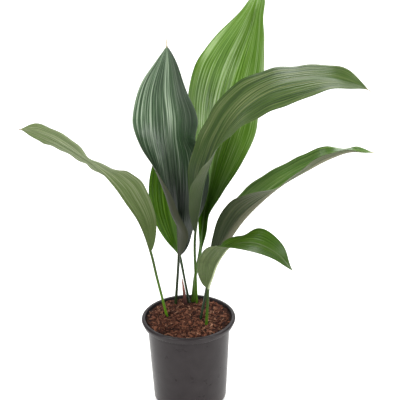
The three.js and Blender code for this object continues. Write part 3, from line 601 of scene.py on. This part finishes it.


# Each leaf's stations run along its midrib from the soil to the tip, in millimetres and degrees:
#   x, y, z, turn, left near rib, left at margin, right near rib, right at margin
# turn twists the blade about its rib, and the last four say how far each half is folded up.
# Each leaf also says how much painted shade darkens its base and its right half.
LEAVES = {
    "leaf_tall_front": dict(
        facing=60, half_width=61, widest=0.65, fullness=1.0, foot=0.6, stalk=2.4, curl=2,
        dry_tip=True, wave=(0.8, 5, 0.0),
        stations=[
            (-21, 45, 149, 0, 0, 0, 0, 0),
            (-17, 46, 194, 0, 20, 20, 20, 20),
            (-14, 47, 233, 0, 50, 60, 50, 60),
            (-14, 49, 268, 5, 55, 125, 25, 25),
            (-15, 52, 310, 20, 14, 164, 35, 35),
            (-15, 55, 359, 40, 12, 142, 35, 35),
            (-17, 58, 405, 60, 20, 101, 35, 35),
            (-19, 60, 432, 70, 16, 81, 44, 44),
            (-20, 62, 462, 80, 18, 30, 29, 29),
            (-23, 64, 505, 80, 13, 13, 32, 32),
            (-23, 65, 543, 80, 15, 15, 29, 29),
            (-24, 65, 572, 80, 10, 10, 10, 10),
            (-25, 65, 587, 80, 0, 0, 0, 0),
        ],
        upper=("#0c1c0c", "#3a5236", "#a4b29c"), under=("#383b2c", "#595b48", "#73725f"),
        rib="#4d6a48", rib_show=(0.1, 0.3), rib_reach=(2.2, 2.2),
        base_shade_strength=0.95, base_shade_reach=0.7, right_shade_strength=0.65,
        stalk_low="#1c2a10", stalk_high="#1e2c14", browning=1.01, dry_colour="#a3926f",
        gloss=0.5, roughness=(0.28, 0.42), seed=1.0,
    ),
    "leaf_tall_back": dict(
        facing=0, half_width=66, widest=0.68, fullness=1.1, foot=1.15, stalk=2.6, curl=1,
        dry_tip=False, wave=(1.0, 7, 1.0),
        stations=[
            (7, 53, 148, 0, 0, 0, 0, 0),
            (11, 57, 188, 0, 20, 20, 20, 20),
            (19, 65, 224, 0, 65, 65, 65, 65),
            (24, 74, 261, 0, 65, 65, 60, 60),
            (28, 84, 292, 0, 60, 60, 73, 73),
            (36, 92, 332, 0, 45, 45, 52, 52),
            (44, 97, 378, 0, 35, 35, 30, 30),
            (57, 101, 429, 0, 25, 25, 29, 29),
            (71, 105, 486, 0, 5, 5, 46, 46),
            (88, 108, 541, 0, 22, 22, 57, 57),
            (103, 108, 584, 0, 30, 30, 64, 64),
            (113, 110, 621, 0, 35, 35, 65, 65),
            (121, 111, 653, 0, 10, 10, 10, 10),
        ],
        upper=("#2e5200", "#5c8028", "#b4c898"), under=("#4f6a3a", "#6d8350", "#7d8f5d"),
        rib="#86a55c", rib_show=(0.12, 0.3), rib_reach=(2.2, 2.2),
        base_shade_strength=1.0, base_shade_reach=0.55, right_shade_strength=0.3,
        stalk_low="#3f5c10", stalk_high="#34500e", browning=1.005, dry_colour="#a3926f",
        gloss=0.5, roughness=(0.28, 0.42), seed=2.0,
    ),
    "leaf_back_short": dict(
        facing=0, half_width=31, widest=0.5, fullness=1.0, foot=0.85, stalk=1.9, curl=1,
        dry_tip=False, wave=(0.8, 4, 0.5),
        stations=[
            (1, 47, 147, 0, 0, 0, 0, 0),
            (-6, 60, 184, 0, 20, 20, 20, 20),
            (-13, 67, 224, 0, 60, 60, 60, 60),
            (-20, 74, 253, 0, 20, 20, 20, 20),
            (-28, 82, 294, 0, 17, 17, 15, 15),
            (-31, 88, 335, 0, 14, 14, 12, 12),
            (-32, 91, 378, 0, 12, 12, 10, 10),
            (-30, 92, 425, 0, 10, 10, 10, 10),
        ],
        upper=("#1f4000", "#3a5e00", "#557a18"), under=("#4f6a3a", "#66803f", "#75895a"),
        rib="#6f9a3a", rib_show=(0.12, 0.3), rib_reach=(2.2, 2.2),
        base_shade_strength=0.3, base_shade_reach=0.5, right_shade_strength=0.0,
        stalk_low="#14240f", stalk_high="#1c3010", browning=1.005, dry_colour="#a3926f",
        gloss=0.3, roughness=(0.32, 0.45), seed=3.0,
    ),
    "leaf_arch_right": dict(
        facing=-90, half_width=45, widest=0.62, fullness=0.75, foot=0.7, stalk=2.4, curl=1,
        dry_tip=True, wave=(1.2, 9, 0.6),
        stations=[
            (13, 46, 149, 0, 0, 0, 0, 0),
            (12, 36, 202, 0, 30, 30, 30, 30),
            (13, 20, 285, 0, 60, 60, 60, 60),
            (18, 11, 321, 0, 52, 52, 60, 60),
            (30, -6, 388, 0, 60, 60, 26, 59),
            (40, -14, 419, 0, 50, 50, 10, 43),
            (53, -24, 455, 0, 37, 35, 6, 21),
            (79, -36, 500, 0, 24, 24, -2, -2),
            (125, -51, 538, 0, 3, 1, -11, -18),
            (162, -58, 548, 0, 0, -2, -10, -16),
            (201, -63, 551, 0, 10, 10, -1, -1),
            (229, -66, 546, 0, 34, 34, 3, 3),
            (255, -68, 536, 0, 5, 5, 5, 5),
            (263, -69, 530, 0, 0, 0, 0, 0),
        ],
        upper=("#1a2c0c", "#3a501e", "#6c744a"), under=("#34402a", "#4c5833", "#60664a"),
        rib="#4d6a3a", rib_show=(0.1, 0.3), rib_reach=(2.2, 2.2),
        base_shade_strength=0.7, base_shade_reach=0.6, right_shade_strength=0.0,
        stalk_low="#3c5a12", stalk_high="#2e421a", browning=1.005, dry_colour="#8a7a58",
        gloss=0.3, roughness=(0.38, 0.50), seed=4.0,
    ),
    "leaf_left": dict(
        facing=90, half_width=47, widest=0.55, fullness=0.7, foot=0.7, stalk=2.5, curl=1,
        dry_tip=False, wave=(0.9, 9, 0.0),
        stations=[
            (-34, 3, 147, 0, 0, 0, 0, 0),
            (-48, 0, 220, 0, 20, 20, 20, 20),
            (-56, -3, 265, 0, 60, 60, 50, 50),
            (-74, -8, 323, 0, 86, 86, 35, 35),
            (-89, -11, 350, 0, 86, 86, 18, 18),
            (-103, -14, 375, 0, 75, 75, 0, 0),
            (-118, -17, 397, 0, 55, 55, -29, -29),
            (-130, -20, 413, 0, 38, 38, -34, -34),
            (-152, -24, 433, 0, 30, 30, -38, -38),
            (-171, -28, 449, 0, 42, 42, -43, -43),
            (-196, -33, 467, 0, 51, 51, -58, -58),
            (-220, -37, 476, 0, 70, 70, -62, -62),
            (-237, -40, 479, 0, 40, 40, -40, -40),
        ],
        upper=("#33591f", "#4c7630", "#6a8f50"), under=("#34421b", "#5c6b41", "#8c9174"),
        rib="#323e1e", rib_show=(0.2, 0.5), rib_reach=(2.2, 2.2),
        base_shade_strength=0.9, base_shade_reach=0.55, right_shade_strength=0.0,
        stalk_low="#4a6e0c", stalk_high="#2e4214", browning=0.99, dry_colour="#7a5a3c",
        gloss=0.5, roughness=(0.34, 0.46), seed=5.0,
    ),
    "leaf_low_right": dict(
        facing=-90, half_width=42, widest=0.45, fullness=1.0, foot=0.7, stalk=2.2, curl=1,
        dry_tip=False, wave=(0.8, 8, 0.4),
        stations=[
            (19, -9, 149, 0, 0, 0, 0, 0),
            (25, -7, 180, 0, 20, 20, 20, 20),
            (37, -6, 232, 0, 50, 50, 60, 60),
            (49, -9, 259, 0, 45, 45, 62, 62),
            (64, -13, 286, 0, 35, 35, 78, 78),
            (87, -19, 323, 0, 34, 34, 84, 84),
            (114, -25, 355, 0, 27, 27, 58, 58),
            (145, -31, 384, 0, 18, 18, 27, 27),
            (178, -36, 406, 0, 23, 23, 36, 36),
            (212, -40, 426, 0, 35, 35, 50, 50),
            (240, -42, 436, 0, 5, 5, 44, 44),
            (258, -43, 436, 0, 60, 60, 25, 25),
            (276, -44, 435, 0, 10, 10, 10, 10),
        ],
        upper=("#2a4a0c", "#4a6c24", "#849a58"), under=("#1a2410", "#424a30", "#6a6852"),
        rib="#8c8672", rib_show=(0.15, 0.4), rib_reach=(2.2, 12),
        base_shade_strength=0.9, base_shade_reach=0.6, right_shade_strength=0.0,
        stalk_low="#1c2c1a", stalk_high="#1e2c16", browning=0.985, dry_colour="#8e8a52",
        gloss=0.65, roughness=(0.28, 0.40), seed=6.0,
    ),
    "leaf_small": dict(
        facing=-135, half_width=34, widest=0.5, fullness=0.8, foot=0.42, stalk=2.1, curl=1,
        dry_tip=False, wave=(0.8, 5, 0.0),
        stations=[
            (28, -26, 149, 0, 0, 0, 0, 0),
            (30, -31, 184, 0, 20, 20, 20, 20),
            (32, -38, 219, 0, 50, 50, 60, 60),
            (38, -48, 242, 0, 42, 42, 48, 48),
            (44, -60, 266, 0, 42, 42, 52, 52),
            (52, -75, 289, 0, 36, 36, 38, 38),
            (64, -90, 311, 0, 9, 9, 27, 27),
            (82, -102, 323, 0, 17, 17, 3, 3),
            (105, -112, 324, 0, 36, 36, -3, -3),
            (129, -119, 313, 0, 35, 35, -8, -8),
            (152, -123, 287, 0, 5, 5, 0, 0),
        ],
        upper=("#1c3600", "#2e4a04", "#48621a"), under=("#323f1c", "#485434", "#5e6844"),
        rib="#b3ba98", rib_show=(0.12, 0.7), rib_reach=(2.2, 2.2),
        base_shade_strength=0.3, base_shade_reach=0.5, right_shade_strength=0.0,
        stalk_low="#4a6e0c", stalk_high="#2a3a16", browning=1.005, dry_colour="#a3926f",
        gloss=0.4, roughness=(0.28, 0.40), seed=7.0,
    ),
}

for node, leaf in LEAVES.items():
    leaf_piece(f"{node}_grown", node, leaf)

# ---- Young shoot ----------------------------------------------------------------------------
# The next leaf, still rolled up inside its sheath: a papery scale that wraps once round and a bit
# more, pinkish brown, painted lighter where it stands in the light and darker, as shade, where it
# leaves the soil.

SHOOT_FOOT = Vector((-5, 43, 149)) * MM
SHOOT_TIP = Vector((-10, 44, 199)) * MM
SHOOT_ROOTED = ROOTED - 1 * MM
SHOOT_RADIUS = 3.2 * MM
SHOOT_LAP = 0.16
SHOOT_LAP_START = 0.5
SHOOT_TWIST = 0.9
SHOOT_VEINS = 11
SHOOT_VEIN_HEIGHT = 0.02
SHOOT_SIDES = 48
SHOOT_RINGS = 60


def shoot_mesh():
    """A spear whose section is a scroll: one edge of the scale laps over the other."""
    axis = (SHOOT_TIP - SHOOT_FOOT).normalized()
    start = SHOOT_FOOT - axis * SHOOT_ROOTED
    turn = Vector((0, 0, 1)).rotation_difference(axis).to_matrix()
    length = (SHOOT_TIP - start).length
    vertices = [tuple(start)]
    for ring in range(SHOOT_RINGS):
        share = (ring + 0.5) / SHOOT_RINGS
        radius = SHOOT_RADIUS * (1 - share**3)
        for k in range(SHOOT_SIDES):
            part = k / SHOOT_SIDES
            lap = 1 - SHOOT_LAP * part
            vein = 1 + SHOOT_VEIN_HEIGHT * math.cos(2 * math.pi * SHOOT_VEINS * part)
            angle = 2 * math.pi * part + SHOOT_LAP_START + SHOOT_TWIST * share
            spoke = Vector((math.cos(angle), math.sin(angle), 0)) * radius * lap * vein
            vertices.append(tuple(start + turn @ (spoke + Vector((0, 0, share * length)))))
    vertices.append(tuple(SHOOT_TIP))
    return vertices, ring_faces(SHOOT_RINGS, SHOOT_SIDES)


# Dry leaf sheath: papery, with fine lengthwise fibres about 0.4 mm apart, drawn at 0.8 mm
sheath_skin, tree, shader = material("dry leaf sheath, papery", Roughness=0.6, Specular_IOR_Level=0.35)
place = add(tree, "ShaderNodeTexCoord").outputs["Object"]
stretched = {0: place, 1: (1200.0, 1200.0, 60.0)}
stretched = add(tree, "ShaderNodeVectorMath", stretched, operation="MULTIPLY").outputs["Vector"]
fibres = {"Vector": stretched, "Scale": 1.0, "Detail": 3.0}
fibres = add(tree, "ShaderNodeTexNoise", fibres).outputs["Fac"]
height = add(tree, "ShaderNodeSeparateXYZ", {"Vector": place}).outputs["Z"]
rise = {"Value": height, "From Min": SHOOT_FOOT.z, "From Max": SHOOT_TIP.z}
rise = add(tree, "ShaderNodeMapRange", rise).outputs["Result"]
# Painted light and shade: darker at the foot, lighter towards the tip
shaded_to_lit_tones = [(0.0, "#3a201c"), (0.35, "#74443a"), (1.0, "#a8654f")]
tone = add(tree, "ShaderNodeValToRGB", {"Fac": rise}, stops=shaded_to_lit_tones).outputs["Color"]
shades = [(0.3, "#8c8480"), (0.7, "#ffffff")]
shade = add(tree, "ShaderNodeValToRGB", {"Fac": fibres}, stops=shades).outputs["Color"]
colour = {"Factor": 1.0, 6: tone, 7: shade}
colour = add(tree, "ShaderNodeMix", colour, data_type="RGBA", blend_type="MULTIPLY").outputs[2]
tree.links.new(colour, shader.inputs["Base Color"])
bump = add(tree, "ShaderNodeBump", {"Height": fibres, "Strength": 0.5, "Distance": 0.2 * MM})
tree.links.new(bump.outputs["Normal"], shader.inputs["Normal"])

shoot = mesh_object("rolled_shoot", *shoot_mesh(), [sheath_skin], sharp_degrees=50)
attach(shoot, "root")
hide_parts("shoot_sheath")

# ---- Soil -----------------------------------------------------------------------------------
# Potting soil of coir and fine bark: a loose dark crumb in which reddish strips and fibres lie
# every way, filled to a little under the lip and settled into a low mound.

SOIL_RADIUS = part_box("soil")[1][0]
SOIL_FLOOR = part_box("soil")[0][2]
SOIL_EDGE = 145 * MM
SOIL_MOUND = 5 * MM
SOIL_CLEARANCE = 0.3 * MM
SOIL_SIDES = 240
SOIL_RINGS = 80
GRAIN_PER_METRE = 280
GRAIN_HEIGHT = 1.3 * MM
CHIP_GROUND_STEPS = 60
CHIP_RADIUS = SOIL_RADIUS - 3 * MM
CHIP_STALK_GAP = 4 * MM
CHIP_STALK_EASING = 3 * MM
CHIP_SEGMENTS = 5
CHIP_BENDS_PER_METRE = 160.0
STALK_FEET = [np.array(leaf["stations"][0][:2]) * MM for leaf in LEAVES.values()]
STALK_FEET.append(np.array(SHOOT_FOOT[:2]))


def soil_height(x, y):
    """Height of the soil in metres: a low mound with crumbs that die away at the wall."""
    reach = math.hypot(x, y) / SOIL_RADIUS
    mm_x, mm_y = x / MM, y / MM
    crumbs = (
        1.0 * math.sin(0.31 * mm_x + 1.3) * math.cos(0.27 * mm_y - 0.4)
        + 0.6 * math.sin(0.53 * mm_x - 0.41 * mm_y + 2.0)
        + 0.4 * math.cos(0.47 * mm_x + 0.62 * mm_y)
    )
    return SOIL_EDGE + SOIL_MOUND * (1 - reach**2) + crumbs * MM * (1 - reach**6)


def soil_grain(x, y):
    """Finer lumps of 2 to 6 mm on top of that."""
    return noise.fractal(Vector((x, y, 0)) * GRAIN_PER_METRE, 0.7, 2.1, 4) * GRAIN_HEIGHT


def soil_mesh():
    """A closed body of soil: flat below, close inside the wall, and crumbly on top."""
    inner = WALL + SOIL_CLEARANCE
    bend = FOOT_HEIGHT + 2.5 * MM
    rings = [
        (FOOT_RADIUS - inner, SOIL_FLOOR),
        (FOOT_RADIUS - inner, FOOT_HEIGHT),
        (wall_radius(bend) - inner, bend),
        (WALL_TOP_RADIUS - inner, SKIRT_BOTTOM + 0.2 * MM),
    ]
    rings += [(SOIL_RADIUS * k / SOIL_RINGS, None) for k in range(SOIL_RINGS, 0, -1)]
    vertices = [(0, 0, SOIL_FLOOR)]
    for radius, z in rings:
        for x, y in circle(SOIL_SIDES):
            x, y = radius * x, radius * y
            vertices.append((x, y, soil_height(x, y) + soil_grain(x, y) if z is None else z))
    vertices.append((0, 0, soil_height(0, 0)))
    return vertices, ring_faces(len(rings), SOIL_SIDES)


def scatter_ground():
    """A plain disc over the soil, with how likely a chip is at each point."""
    steps = CHIP_GROUND_STEPS
    grid = np.linspace(-CHIP_RADIUS, CHIP_RADIUS, steps)
    vertices = [(x, y, soil_height(x, y)) for x in grid for y in grid]
    faces = []
    for i in range(steps - 1):
        for j in range(steps - 1):
            first, beside = i * steps + j, (i + 1) * steps + j
            corners = (first, beside, beside + 1, first + 1)
            if all(math.hypot(*vertices[corner][:2]) < CHIP_RADIUS for corner in corners):
                faces.append(corners)
    ground = mesh_object("chip_ground", vertices, faces, [])
    clear = []
    for x, y, _ in vertices:
        nearest = min(math.hypot(x - foot[0], y - foot[1]) for foot in STALK_FEET)
        clear.append(min(max((nearest - CHIP_STALK_GAP) / CHIP_STALK_EASING, 0), 1))
    attribute = ground.data.attributes.new("chip_room", "FLOAT", "POINT")
    attribute.data.foreach_set("value", clear)
    return ground


def scatter_tree():
    """Strews strips of one kind over the ground, each bent by a shared noise."""
    group = bpy.data.node_groups.new("strewn_strips", "GeometryNodeTree")
    for name, kind in (
        ("Geometry", "Geometry"),
        ("Per Square Metre", "Float"),
        ("Seed", "Int"),
        ("Smallest", "Vector"),
        ("Largest", "Vector"),
        ("Tilt", "Float"),
        ("Bend", "Float"),
        ("Lift", "Float"),
        ("Material", "Material"),
    ):
        group.interface.new_socket(name, in_out="INPUT", socket_type=f"NodeSocket{kind}")
    group.interface.new_socket("Geometry", in_out="OUTPUT", socket_type="NodeSocketGeometry")
    given = add(group, "NodeGroupInput").outputs
    seed, tilt = given["Seed"], given["Tilt"]
    room = add(group, "GeometryNodeInputNamedAttribute", {"Name": "chip_room"}, data_type="FLOAT")
    density = {0: given["Per Square Metre"], 1: room.outputs["Attribute"]}
    density = add(group, "ShaderNodeMath", density, operation="MULTIPLY").outputs[0]
    places = {"Mesh": given["Geometry"], "Density": density, "Seed": seed}
    places = add(group, "GeometryNodeDistributePointsOnFaces", places).outputs["Points"]
    strip = {"Size": (1.0, 1.0, 1.0), "Vertices X": CHIP_SEGMENTS + 1, "Vertices Y": 2, "Vertices Z": 2}
    strip = add(group, "GeometryNodeMeshCube", strip).outputs["Mesh"]
    size = {0: given["Smallest"], 1: given["Largest"], "Seed": seed}
    size = add(group, "FunctionNodeRandomValue", size, data_type="FLOAT_VECTOR").outputs[0]
    less = add(group, "ShaderNodeMath", {0: tilt, 1: -1.0}, operation="MULTIPLY").outputs[0]
    low = add(group, "ShaderNodeCombineXYZ", {"X": less, "Y": less, "Z": 0.0}).outputs[0]
    high = add(group, "ShaderNodeCombineXYZ", {"X": tilt, "Y": tilt, "Z": 2 * math.pi}).outputs[0]
    spin = {0: low, 1: high, "Seed": seed}
    spin = add(group, "FunctionNodeRandomValue", spin, data_type="FLOAT_VECTOR").outputs[0]
    strewn = {"Points": places, "Instance": strip, "Rotation": spin, "Scale": size}
    strewn = add(group, "GeometryNodeInstanceOnPoints", strewn).outputs["Instances"]
    tone = add(group, "FunctionNodeRandomValue", {"Seed": seed}, data_type="FLOAT").outputs[1]
    toned = {"Geometry": strewn, "Name": "chip_tone", "Value": tone}
    toned = add(
        group, "GeometryNodeStoreNamedAttribute", toned, data_type="FLOAT", domain="INSTANCE"
    ).outputs["Geometry"]
    loose = add(group, "GeometryNodeRealizeInstances", {"Geometry": toned}).outputs["Geometry"]
    wobble = {"Scale": CHIP_BENDS_PER_METRE, "Detail": 2.0}
    wobble = add(group, "ShaderNodeTexNoise", wobble).outputs["Color"]
    centred = {0: wobble, 1: (0.5, 0.5, 0.5)}
    centred = add(group, "ShaderNodeVectorMath", centred, operation="SUBTRACT").outputs[0]
    bend = {0: centred, "Scale": given["Bend"]}
    bend = add(group, "ShaderNodeVectorMath", bend, operation="SCALE").outputs[0]
    lift = add(group, "ShaderNodeCombineXYZ", {"Z": given["Lift"]}).outputs[0]
    offset = add(group, "ShaderNodeVectorMath", {0: bend, 1: lift}, operation="ADD").outputs[0]
    bent = {"Geometry": loose, "Offset": offset}
    bent = add(group, "GeometryNodeSetPosition", bent).outputs["Geometry"]
    skinned = {"Geometry": bent, "Material": given["Material"]}
    skinned = add(group, "GeometryNodeSetMaterial", skinned).outputs["Geometry"]
    add(group, "NodeGroupOutput", {"Geometry": skinned})
    return group


def strew(name, ground, group, **values):
    """One kind of strip over the whole soil, as a plain mesh piece."""
    piece = ground.copy()
    piece.data = ground.data.copy()
    piece.name = name
    bpy.context.scene.collection.objects.link(piece)
    modifier = piece.modifiers.new("strewn strips", "NODES")
    modifier.node_group = group
    inputs = {
        item.name: item.identifier for item in group.interface.items_tree if item.in_out == "INPUT"
    }
    for label, value in values.items():
        modifier[inputs[label.replace("_", " ")]] = value
    plain_mesh(piece)
    piece.data.name = name
    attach(piece, "root")


def soil_material(name, stops, strewn=True):
    """Coir and bark: dry, dull and reddish. Each strewn scrap has a tone of its own."""
    made, tree, shader = material(name, Roughness=0.9, Specular_IOR_Level=0.2)
    place = add(tree, "ShaderNodeTexCoord").outputs["Object"]
    lumps = {"Vector": place, "Scale": 420.0, "Detail": 5.0, "Roughness": 0.7}
    lumps = add(tree, "ShaderNodeTexNoise", lumps).outputs["Fac"]
    factor = lumps
    if strewn:
        tone = add(tree, "ShaderNodeAttribute", attribute_name="chip_tone").outputs["Fac"]
        factor = add(tree, "ShaderNodeMix", {"Factor": 0.7, 2: lumps, 3: tone}).outputs[0]
    colour = add(tree, "ShaderNodeValToRGB", {"Fac": factor}, stops=stops).outputs["Color"]
    tree.links.new(colour, shader.inputs["Base Color"])
    bump = add(tree, "ShaderNodeBump", {"Height": lumps, "Strength": 0.8, "Distance": 0.8 * MM})
    tree.links.new(bump.outputs["Normal"], shader.inputs["Normal"])
    return made


crumb = soil_material(
    "potting soil, dark crumb", [(0.35, "#120905"), (0.6, "#2e1a12"), (0.8, "#4e2e20")], strewn=False
)
bark = soil_material(
    "composted bark strips",
    [(0.1, "#180b07"), (0.35, "#341a11"), (0.6, "#4e2c1f"), (0.85, "#744a36"), (0.97, "#bd8f6a")],
)
coir = soil_material(
    "coir fibre", [(0.1, "#22100a"), (0.4, "#432418"), (0.7, "#6c4432"), (0.95, "#ac846a")]
)

soil = mesh_object("soil_bed", *soil_mesh(), [crumb], sharp_degrees=180)
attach(soil, "root")
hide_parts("soil")
ground = scatter_ground()
strips = scatter_tree()
strew(
    "bark_strips", ground, strips, Per_Square_Metre=48000.0, Seed=11,
    Smallest=(4 * MM, 1.4 * MM, 0.7 * MM), Largest=(12 * MM, 4.2 * MM, 2.0 * MM),
    Tilt=0.55, Bend=5 * MM, Lift=0.4 * MM, Material=bark,
)
strew(
    "coir_fibres", ground, strips, Per_Square_Metre=70000.0, Seed=23,
    Smallest=(5 * MM, 0.5 * MM, 0.4 * MM), Largest=(14 * MM, 1.3 * MM, 0.8 * MM),
    Tilt=0.45, Bend=9 * MM, Lift=1.0 * MM, Material=coir,
)
bpy.data.objects.remove(ground)

# ---- Floor, light and camera ----------------------------------------------------------------
# A plain pale floor under soft studio light.

FLOOR_HALF = 8.0
DAYLIGHT = 0.42
CAMERA_PLACE = (0.0215, -1.330, 0.884)
CAMERA_DOWN = 21.92
CAMERA_ROLL = -1.0
FOCAL_LENGTH = 85
SENSOR_WIDTH = 36

floor_paint, tree, shader = material(
    "pale floor", Roughness=0.9, Specular_IOR_Level=0.1, Emission_Strength=0.3
)
shader.inputs["Base Color"].default_value = linear("#f4f4f2")
shader.inputs["Emission Color"].default_value = linear("#ffffff")
corners = [(FLOOR_HALF * x, FLOOR_HALF * y, 0) for x, y in ((-1, -1), (1, -1), (1, 1), (-1, 1))]
floor = mesh_object("floor", corners, [(0, 1, 2, 3)], [floor_paint])

scene = bpy.context.scene
scene.view_settings.view_transform = "Standard"
world = bpy.data.worlds.new("studio")
scene.world = world
world.use_nodes = True
background = world.node_tree.nodes["Background"]
background.inputs["Color"].default_value = linear("#ffffff")
background.inputs["Strength"].default_value = DAYLIGHT


def softbox(name, place, target, size, power):
    """A rectangular lamp that faces its target."""
    lamp = bpy.data.lights.new(name, "AREA")
    lamp.shape = "RECTANGLE"
    lamp.size, lamp.size_y = size
    lamp.energy = power
    holder = bpy.data.objects.new(name, lamp)
    scene.collection.objects.link(holder)
    holder.location = place
    holder.rotation_euler = (Vector(target) - Vector(place)).to_track_quat("-Z", "Y").to_euler()


softbox("key_left", (-1.6, -1.3, 1.9), (0, 0, 0.35), (0.9, 1.4), 60)
softbox("fill_right", (1.8, -1.0, 1.3), (0, 0, 0.3), (0.7, 1.4), 26)
softbox("top_back", (0.3, 1.4, 2.1), (0, 0, 0.4), (1.6, 0.8), 42)
softbox("front_strip", (0.95, -1.6, 0.7), (0, 0, 0.25), (0.15, 1.4), 16)
softbox("far_floor", (0, 4.2, 1.8), (0, 4.2, 0), (6.0, 2.0), 90)

lens = bpy.data.cameras.new("camera")
lens.lens = FOCAL_LENGTH
lens.sensor_width = SENSOR_WIDTH
camera = bpy.data.objects.new("camera", lens)
scene.collection.objects.link(camera)
camera.location = CAMERA_PLACE
down = Quaternion((1, 0, 0), math.radians(90 - CAMERA_DOWN))
roll = Quaternion((0, 0, 1), math.radians(CAMERA_ROLL))
camera.rotation_mode = "QUATERNION"
camera.rotation_quaternion = down @ roll
scene.camera = camera
